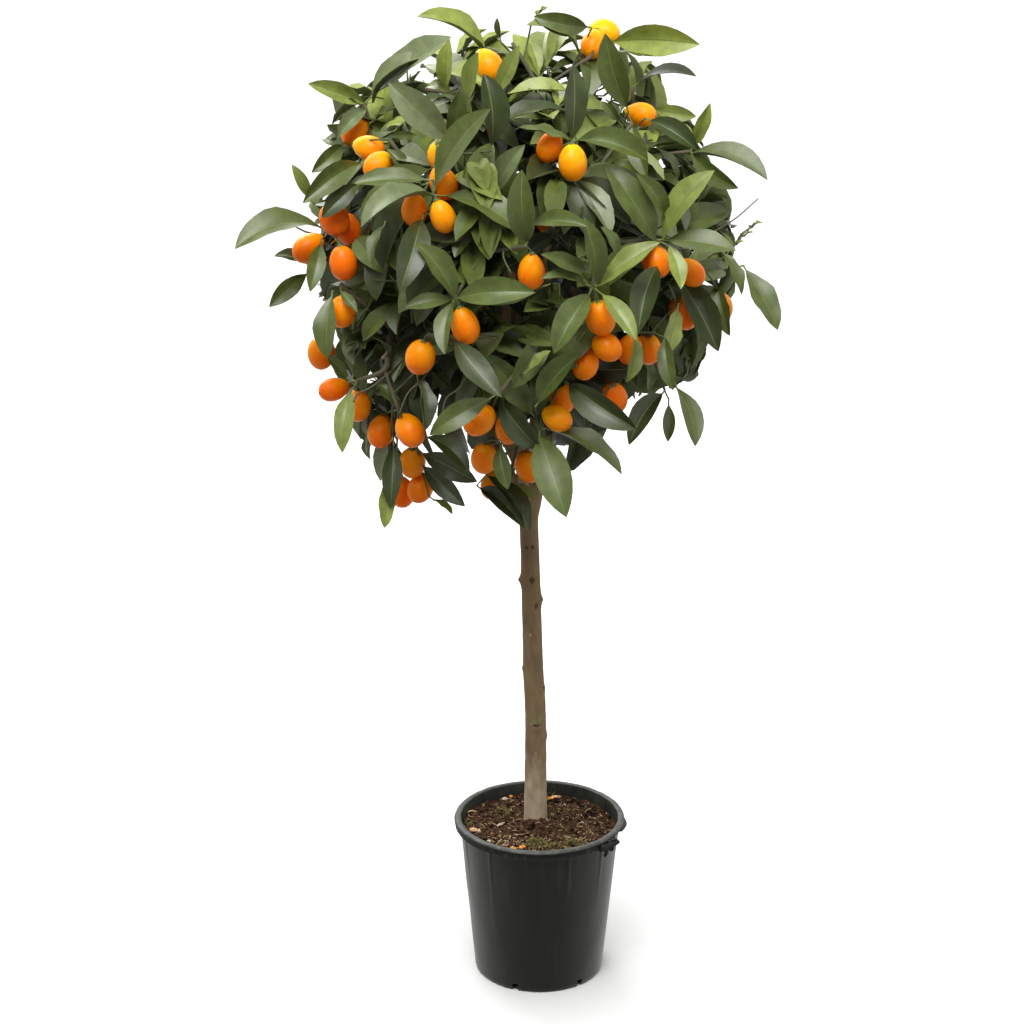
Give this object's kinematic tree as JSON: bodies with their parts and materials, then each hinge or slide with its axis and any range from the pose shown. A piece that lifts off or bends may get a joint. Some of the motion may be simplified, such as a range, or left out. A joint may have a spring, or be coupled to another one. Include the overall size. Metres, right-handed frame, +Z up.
{
  "type": "potted kumquat tree",
  "caption": "Young kumquat tree trained as a leafy ball on a bare stem, bearing oval fruit, in a round nursery pot of soil.",
  "frame": {"origin": "centre of the pot's flat underside", "axes": "+Z up along the trunk, -Y towards the front, +X to the right of a viewer in front"},
  "size_m": [0.5607, 0.5679, 1.1459],
  "materials": {
    "pot": "satin",
    "soil": "matte",
    "bark": "matte",
    "foliage": "satin"
  },
  "bodies": {
    "root": {"pot": "pot", "soil": "soil", "trunk": "bark", "bough_top": "bark", "bough_upper_1": "bark", "bough_upper_2": "bark", "bough_upper_3": "bark", "bough_upper_4": "bark", "bough_upper_5": "bark", "bough_lower_1": "bark", "bough_lower_2": "bark", "bough_lower_3": "bark", "bough_lower_4": "bark", "bough_lower_5": "bark", "foliage_top": "foliage", "foliage_upper_1": "foliage", "foliage_upper_2": "foliage", "foliage_upper_3": "foliage", "foliage_upper_4": "foliage", "foliage_upper_5": "foliage", "foliage_lower_1": "foliage", "foliage_lower_2": "foliage", "foliage_lower_3": "foliage", "foliage_lower_4": "foliage", "foliage_lower_5": "foliage"}
  },
  "joints": []
}
